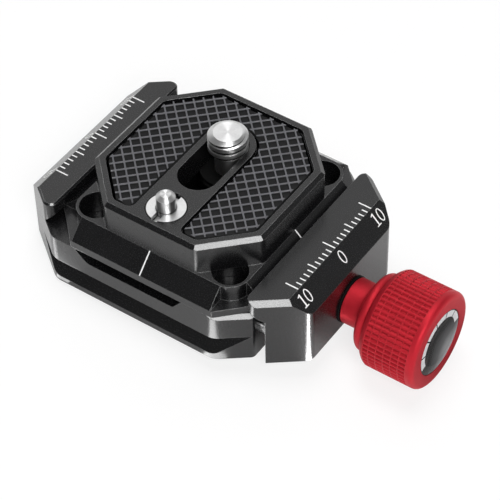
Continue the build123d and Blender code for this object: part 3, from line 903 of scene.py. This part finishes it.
def knurled_sleeve(sizes, radius, start, end, axis_z):
    """Sleeve with rows of narrow pits round its outside, open at its left end."""
    cells, along, pitch = sizes.cells_round, sizes.cells_along, mm(sizes.cell)
    width = tau * radius / cells
    bm = bmesh.new()
    bmesh.ops.create_grid(bm, x_segments=along, y_segments=cells, size=0.5)
    bmesh.ops.scale(bm, vec=(along * pitch, cells * width, 1), verts=bm.verts)
    pits = list(bm.faces)
    ring_rib, long_rib = mm(sizes.ring_rib), mm(sizes.long_rib)
    squeeze = ring_rib / long_rib
    bmesh.ops.scale(bm, vec=(1, squeeze, 1), verts=bm.verts)
    bmesh.ops.inset_individual(bm, faces=pits, thickness=ring_rib / 2, use_even_offset=True)
    bmesh.ops.scale(bm, vec=(1, 1 / squeeze, 1), verts=bm.verts)
    narrow = mm(sizes.floor) / (width - long_rib)
    shorter = 1 - 2 * mm(sizes.end_slope) / (pitch - ring_rib)
    for face in bmesh.ops.extrude_discrete_faces(bm, faces=pits)["faces"]:
        sink(bm, face, (shorter, narrow), mm(sizes.depth))
    soften(bm, "EDGES", [edge for edge in bm.edges if rib_edge(edge)], mm(sizes.rib_round), 1)
    bmesh.ops.translate(bm, verts=bm.verts, vec=(end - along * pitch / 2, 0, 0))
    cut(bm, (start, 0, 0), ALONG, clear_inner=True)
    for vert in bm.verts:
        turn, reach = vert.co.y / radius + sizes.phase, radius + vert.co.z
        vert.co = (vert.co.x, reach * cos(turn), axis_z + reach * sin(turn))
    weld(bm, 100 * WELD)
    for vert in bmesh.ops.extrude_edge_only(bm, edges=border(bm))["geom"]:
        if isinstance(vert, bmesh.types.BMVert):
            arm = Vector((0, vert.co.y, vert.co.z - axis_z))
            arm = arm.normalized() * (radius - mm(sizes.wall))
            vert.co = (vert.co.x, arm.y, axis_z + arm.z)
    bmesh.ops.bridge_loops(bm, edges=border(bm))
    return bm


class CLAMP_OT_knob(bpy.types.Operator):
    """Turn and knurl the knob"""

    bl_idname = "clamp.knob"
    bl_label = "Turn the knob"

    def profile(self, sizes, start, end, radius, sleeve, core, bore):
        """Closed profile of the knob without its knurled sleeve, and where that sleeve starts."""
        collar_r, ring_r, ring = mm(sizes.collar_radius), mm(sizes.ring_radius), mm(sizes.ring)
        hollow, neck, neck_deep = mm(sizes.hollow), mm(sizes.neck), mm(sizes.neck_deep)
        small, bevel, end_round = mm(sizes.small), mm(sizes.bevel), mm(sizes.end_round)
        entry, entry_deep, cap_r = mm(sizes.entry), mm(sizes.entry_deep), mm(sizes.cap_radius)
        hollow_x = start + mm(sizes.collar)
        top_x = hollow_x + hollow + ring
        neck_x = top_x + neck
        entry_x, entry_r = neck_x + small + bevel, radius - entry_deep
        grip_x = entry_x + entry
        wall_x, cap_x = grip_x + small / 2, end - mm(sizes.cap_deep)
        points = [(start, bore), (start, collar_r - small), (start + small, collar_r)]
        points += arc((hollow_x, collar_r + hollow), hollow, -90, 0, 8)
        points += arc((top_x, ring_r - ring), ring, 180, 90, 10)
        points += [(top_x + neck * 0.5, ring_r - neck_deep * 0.18),
                   (top_x + neck * 0.82, ring_r - neck_deep * 0.55),
                   (neck_x, ring_r - neck_deep), (entry_x - bevel, entry_r - bevel),
                   (entry_x, entry_r), (entry_x + entry * 0.5, radius - entry_deep * 0.36),
                   (grip_x, radius), (wall_x, radius), (wall_x, core),
                   (sleeve, core), (sleeve, radius)]
        points += arc((end - end_round, radius - end_round), end_round, 90, 0, 8)
        points += [(end, cap_r), (cap_x, cap_r), (cap_x, bore)]
        return points, wall_x

    def execute(self, context):
        sizes = context.scene.clamp_knob
        red = anodised_red(context.scene.clamp_finish, "red anodising")
        low, high = box_mm("knob")
        stud = box_mm("clamp_stud")
        radius, axis_z = (high.z - low.z) / 2, (high.z + low.z) / 2
        sleeve = high.x - mm(sizes.band)
        bore = (stud[1].z - stud[0].z) / 2 + mm(sizes.play)
        core = radius - mm(sizes.wall) + mm(sizes.overlap)
        points, grip_x = self.profile(sizes, low.x, high.x, radius, sleeve, core, bore)
        bm = turned(points, 120, ALONG, (0, 0, axis_z))
        knurl = knurled_sleeve(sizes, radius, grip_x, sleeve, axis_z)
        rough = bpy.data.meshes.new("knurl")
        knurl.to_mesh(rough)
        knurl.free()
        bm.from_mesh(rough)
        bpy.data.meshes.remove(rough)
        piece = finished("knurled_knob", bm, red, sharp=radians(24))
        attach(piece, "knob")
        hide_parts("knob")
        return {"FINISHED"}


class CLAMP_OT_cap(bpy.types.Operator):
    """Turn the knob's cap and print its segments"""

    bl_idname = "clamp.cap"
    bl_label = "Mark the cap"

    def execute(self, context):
        sizes = context.scene.clamp_cap
        finish = context.scene.clamp_finish
        ink = printed("cap ink", finish.mark)
        low, high = box_mm("knob")
        cap_low, cap_high = box_mm("knob_cap")
        axis_z = (low.z + high.z) / 2
        face = high.x - mm(sizes.sunk)
        edge = (cap_high.z - cap_low.z) / 2
        hollow, deep, bevel = edge - mm(sizes.rim), mm(sizes.dish_deep), mm(sizes.bevel)
        ball = (hollow ** 2 + deep ** 2) / (2 * deep)
        middle = face - deep + ball
        profile = [(cap_low.x, 0), (cap_low.x, edge), (face - bevel, edge), (face, edge - bevel),
                   (face, hollow + bevel)]
        steps = 24
        for i in range(steps, -1, -1):
            lean = asin(hollow / ball) * i / steps
            profile.append((middle - ball * cos(lean), ball * sin(lean)))
        gloss = gloss_black("cap gloss", finish.gloss, finish.cap_painted_light, axis_z * MM, edge * MM)
        piece = finished("turned_cap", turned(profile, 96, ALONG, (0, 0, axis_z)), gloss)
        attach(piece, "knob")
        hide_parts("knob_cap")

        bm = bmesh.new()
        for number in range(sizes.marks):
            first = sizes.first + number * sizes.pitch
            points = [(face, mm(sizes.inner), axis_z), (face, mm(sizes.outer), axis_z)]
            verts, edges = outline(bm, points, closed=False)
            bmesh.ops.rotate(bm, cent=(0, 0, axis_z), verts=verts,
                             matrix=Matrix.Rotation(first, 3, "X"))
            bmesh.ops.spin(bm, geom=verts + edges, cent=(0, 0, axis_z), axis=ALONG,
                           angle=sizes.pitch - sizes.gap, steps=12)
        faces = list(bm.faces)
        bmesh.ops.recalc_face_normals(bm, faces=faces)
        thicken(bm, faces, (2 * mm(PROUD), 0, 0))
        bmesh.ops.translate(bm, verts=bm.verts, vec=(-mm(PROUD), 0, 0))
        piece = finished("cap_marks", bm, ink)
        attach(piece, "knob")
        return {"FINISHED"}


# Camera screw

class CLAMP_OT_screw(bpy.types.Operator):
    """Cut the camera screw's thread"""

    bl_idname = "clamp.screw"
    bl_label = "Cut the screw"

    steps = 72      # facets round the screw

    def thread(self, sizes, low, high):
        """Threaded rod round the Z axis, from low to high."""
        pitch, groove = mm(sizes.pitch), mm(sizes.groove)
        crest, root = mm(sizes.crest), mm(sizes.root)
        turns = int((high - low) / pitch) + 3           # some more at both ends, to be cut off
        start = low - 1.5 * pitch + mm(sizes.start)
        flank = groove * 0.42
        bm = bmesh.new()
        points = [(root, 0, start), (crest, 0, start + flank),
                  (crest, 0, start + pitch - groove + flank),
                  (root, 0, start + pitch - groove + 2 * flank), (root, 0, start + pitch)]
        verts, edges = outline(bm, points, closed=False)
        bmesh.ops.spin(bm, geom=verts + edges, cent=ORIGIN, axis=UP, angle=tau * turns,
                       steps=self.steps * turns, dvec=(0, 0, pitch / self.steps))
        weld(bm, 10 * WELD)
        cut(bm, (0, 0, low), UP, clear_inner=True)
        cut(bm, (0, 0, high), UP, clear_outer=True)
        bmesh.ops.holes_fill(bm, edges=border(bm), sides=0)
        return bm

    def execute(self, context):
        sizes = context.scene.clamp_screw
        tint = context.scene.clamp_finish.steel
        low, high = box_mm("camera_screw")
        centre = (low + high) / 2
        head_r, head_top = (high.x - low.x) / 2, low.z + mm(sizes.head)
        # painted shade: the head, below head_top, lies in shade in the slot and is painted dark
        steel = turned_steel("camera screw steel", tint, centre * MM, roughness=0.34,
                             lines=0.1 * MM, anisotropic=0.7, painted_bands=0.2, foot=head_top * MM)
        crest, neck, bevel = mm(sizes.crest), mm(sizes.neck), mm(sizes.head_round)
        end, chamfer, tip = mm(sizes.end), mm(sizes.chamfer), mm(sizes.tip)
        thread_low = high.z - mm(sizes.thread)
        outside = crest + mm(sizes.clear)
        rod = self.thread(sizes, thread_low, high.z)
        envelope = turned([(thread_low, 0), (thread_low, crest - end), (thread_low + end, outside),
                           (high.z - chamfer, outside),
                           (high.z - mm(sizes.tip_deep), tip + mm(sizes.tip_wide)),
                           (high.z, tip), (high.z, 0)], self.steps)
        top = combined("threaded_screw", rod, envelope, "INTERSECT", steel)
        shank = turned([(low.z, 0), (low.z, head_r - bevel), (low.z + bevel, head_r),
                        (head_top - bevel, head_r), (head_top, head_r - bevel), (head_top, neck),
                        (thread_low + end, neck), (thread_low + end, 0)], self.steps)
        slot = bmesh.new()
        bmesh.ops.create_cube(slot, size=1, matrix=Matrix.Translation((0, 0, low.z))
                              @ Matrix.Diagonal((mm(sizes.coin_width), 3 * head_r,
                                                 2 * mm(sizes.coin_deep), 1)))
        head = combined("screw_shank", shank, slot, "DIFFERENCE", steel)
        bm = bmesh.new()
        for rough in (top, head):
            bm.from_mesh(rough.data)
            discard(rough)
        to_mm(bm)
        bmesh.ops.translate(bm, verts=bm.verts, vec=(centre.x, centre.y, 0))
        piece = finished("threaded_screw", bm, steel, sharp=radians(28))
        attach(piece, "screw")
        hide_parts("camera_screw")
        return {"FINISHED"}


# Camera, floor and light

def seen_or_mirrored(tree):
    """1 for camera, glossy and transmission rays, 0 for the rest."""
    rays = add(tree, "LightPath").outputs
    first = calc(tree, "MAXIMUM", rays["Is Camera Ray"], rays["Is Glossy Ray"])
    return calc(tree, "MAXIMUM", first, rays["Is Transmission Ray"])


def between(tree, amount, first, second):
    """Shader between two others."""
    return add(tree, "MixShader", {0: amount, 1: first, 2: second}).outputs[0]


def emission(tree, strength):
    """White light that a surface gives off."""
    return add(tree, "Emission", {"Strength": strength}).outputs[0]


def area_light(name, place, turn, size, radiance):
    """Rectangular lamp whose face has the given brightness."""
    lamp = bpy.data.lights.new(name, "AREA")
    lamp.shape = "RECTANGLE"
    lamp.size, lamp.size_y = size
    lamp.energy = radiance * size[0] * size[1] * pi
    made = bpy.data.objects.new(name, lamp)
    made.location = place
    made.rotation_euler = turn
    made.visible_camera = False
    bpy.context.scene.collection.objects.link(made)
    return made


def only_black(lamp):
    """Let a lamp mirror in the black metal and rubber only, and light nothing else."""
    group = bpy.data.collections.get("black parts")
    if group is None:
        group = bpy.data.collections.new("black parts")
        for name in ("base_body", "movable_jaw", "plate_body"):
            group.objects.link(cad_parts[name])
        group.objects.link(bpy.data.objects["moulded_pad"])
    lamp.light_linking.receiver_collection = group
    lamp.visible_diffuse = False


class CLAMP_OT_stage(bpy.types.Operator):
    """Set the camera, the floor and the lights"""

    bl_idname = "clamp.stage"
    bl_label = "Set the stage"

    # Name of the lamp, way to it from the clamp's middle, width, level, black parts only
    lamps = (
        ("key light", (0.529, -0.505, 0.682), 0.22, "key", False),
        ("key sheen", (0.529, -0.505, 0.682), 0.3, "sheen", True),
        ("top light", (-0.05, 0.05, 1), 0.25, "top", False),
        ("right rim", (0.3, 0.55, 0.78), 0.18, "rim", True),
        ("near rim", (-0.4, -0.11, 0.91), 0.18, "rim", True),
        ("left rim", (-0.78, 0.17, 0.6), 0.18, "rim", True),
        ("back light", (-0.4, 0.56, 0.73), 0.5, "back", False),
    )

    def camera(self, scene, sizes):
        """Camera turned and lifted round the origin, then shifted aside and down."""
        turn, lift = sizes.azimuth, sizes.elevation
        back = Vector((sin(turn) * cos(lift), -cos(turn) * cos(lift), sin(lift)))
        right = Vector((cos(turn), sin(turn), 0))
        up = back.cross(right)
        aside = cos(sizes.roll) * right + sin(sizes.roll) * up
        above = -sin(sizes.roll) * right + cos(sizes.roll) * up
        data = bpy.data.cameras.new("camera")
        data.lens = sizes.lens
        data.clip_start = 0.02
        data.clip_end = 50
        made = bpy.data.objects.new("camera", data)
        place = back * sizes.distance + aside * sizes.aside - above * sizes.down
        made.matrix_world = (Matrix.Translation(place)
                             @ Matrix((aside, above, back)).transposed().to_4x4())
        scene.collection.objects.link(made)
        scene.camera = made

    def floor(self, sizes):
        """White floor, tilted so that the base's left edge and the knob both rest on it."""
        material, tree, shader = blank("floor", Roughness=0.9, Specular_IOR_Level=0.1)
        plain = shader.outputs[0]
        tone = shades(tree, noise(tree, 0.05, detail=2), sizes.floor_colour, 0.985, 1.0)
        tree.links.new(tone, shader.inputs["Base Color"])
        place = place_on(tree)
        scale = (1 / sizes.shade_x, 1 / sizes.shade_y, 0)
        shrunk = add(tree, "Mapping", {"Vector": place, "Scale": scale}).outputs[0]
        lift = span(tree, vector_calc(tree, "LENGTH", shrunk), 0.8, 1.15, 0.0, sizes.floor_glow)
        raised = add(tree, "AddShader", {0: plain, 1: emission(tree, lift)}).outputs[0]
        aside = vector_calc(tree, "DISTANCE", place, (sizes.dim_x, sizes.dim_y, 0))
        clear = span(tree, aside, sizes.dim_near, sizes.dim_far, sizes.dim_left)
        lit = between(tree, seen_or_mirrored(tree), plain,
                      between(tree, clear, emission(tree, 0.0), raised))
        white = emission(tree, sizes.floor_white / (1 - sizes.floor_share))
        faint = between(tree, sizes.floor_share, white, plain)
        seen = add(tree, "LightPath").outputs["Is Camera Ray"]
        tree.links.new(between(tree, seen, lit, faint),
                       tree.nodes["Material Output"].inputs["Surface"])
        base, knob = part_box("base_body")[0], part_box("knob")[0]
        fall = asin((base.z - knob.z) / (sizes.rest_x - base.x))
        bm = bmesh.new()
        bmesh.ops.create_grid(bm, x_segments=1, y_segments=1, size=mm(sizes.floor_reach))
        bmesh.ops.rotate(bm, cent=ORIGIN, matrix=Matrix.Rotation(fall, 3, "Y"), verts=bm.verts)
        bmesh.ops.translate(bm, verts=bm.verts, vec=(mm(base.x), 0, mm(base.z) - 0.01))
        made = finished("floor", bm, material)

    def sky(self, scene, sizes):
        """Dim sky over a pale horizon, for the parts of the metal that face away from the lamps."""
        world = bpy.data.worlds.new("studio")
        world.use_nodes = True
        tree = world.node_tree
        height = part(tree, add(tree, "TexCoord").outputs["Generated"], "Z")
        tone = ramp(tree, height, [(0.0, 1.0), (0.2, 1.0), (0.36, sizes.sky), (1.0, sizes.sky)])
        tree.links.new(tone, tree.nodes["Background"].inputs["Color"])
        scene.world = world

    def gleams(self, sizes, jaw, base, knob):
        """Cards flat on the floor that only mirror in upright edges of the black parts."""
        front = base[0].y - 0.5 * MM
        # Name, place of its near end, azimuth it leads away to, and shares of width and strength
        cards = (
            ("jaw gleam", jaw[1].x + 1 * MM, 8 * MM + (base[0].y - base[1].y) / 2, -22, 1.3, 1.0),
            ("front gleam", 13.2 * MM, front, -88, 2.4, 0.2),
            ("left gleam", -14.5 * MM, front, -164, 1.0, 0.1),
        )
        for name, x, y, azimuth, wider, stronger in cards:
            turn, size = radians(azimuth), (sizes.gleam_long, wider * sizes.gleam_wide)
            place = Vector((x, y, 0)) + Vector((cos(turn), sin(turn), 0)) * size[0] / 2
            fall = (place.x - base[0].x) / (sizes.rest_x - base[0].x)
            place.z = base[0].z - fall * (base[0].z - knob[0].z) + sizes.gleam_lift
            only_black(area_light(name, place, (pi, 0, turn), size, stronger * sizes.gleam))

    def execute(self, context):
        scene = context.scene
        sizes = scene.clamp_stage
        self.camera(scene, sizes)
        self.floor(sizes)
        self.sky(scene, sizes)
        aim = (cad_box[0] + cad_box[1]) / 2
        for name, way, width, strength, for_black in self.lamps:
            way = Vector(way) * sizes.reach
            made = area_light(name, aim + way, way.to_track_quat("Z", "Y").to_euler(),
                              (width, width), getattr(sizes, strength))
            if for_black:
                only_black(made)
        self.gleams(sizes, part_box("movable_jaw"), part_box("base_body"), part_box("knob"))
        scene.view_settings.view_transform = "Standard"
        return {"FINISHED"}


class CLAMP_PT_panel(bpy.types.Panel):
    """Steps that dress the clamp, in their order"""

    bl_idname = "CLAMP_PT_panel"
    bl_label = "Clamp"
    bl_space_type = "VIEW_3D"
    bl_region_type = "UI"
    bl_category = "Clamp"

    def draw(self, context):
        for step in STEPS:
            self.layout.operator(step.bl_idname)
        for name in GROUPS:
            group = getattr(context.scene, name)
            column = self.layout.column()
            column.label(text=group.bl_rna.description)
            for key in group.__annotations__:
                column.prop(group, key)


STEPS = (CLAMP_OT_finish, CLAMP_OT_scales, CLAMP_OT_pad, CLAMP_OT_knob, CLAMP_OT_cap,
         CLAMP_OT_screw, CLAMP_OT_stage)


def register():
    for name, group in GROUPS.items():
        bpy.utils.register_class(group)
        setattr(bpy.types.Scene, name, bpy.props.PointerProperty(type=group))
    for kind in (*STEPS, CLAMP_PT_panel):
        bpy.utils.register_class(kind)


def unregister():
    for kind in reversed((*STEPS, CLAMP_PT_panel)):
        bpy.utils.unregister_class(kind)
    for name, group in reversed(GROUPS.items()):
        delattr(bpy.types.Scene, name)
        bpy.utils.unregister_class(group)


def main():
    register()
    for step in STEPS:
        group, name = step.bl_idname.split(".")
        getattr(getattr(bpy.ops, group), name)()


if __name__ == "__main__":
    main()
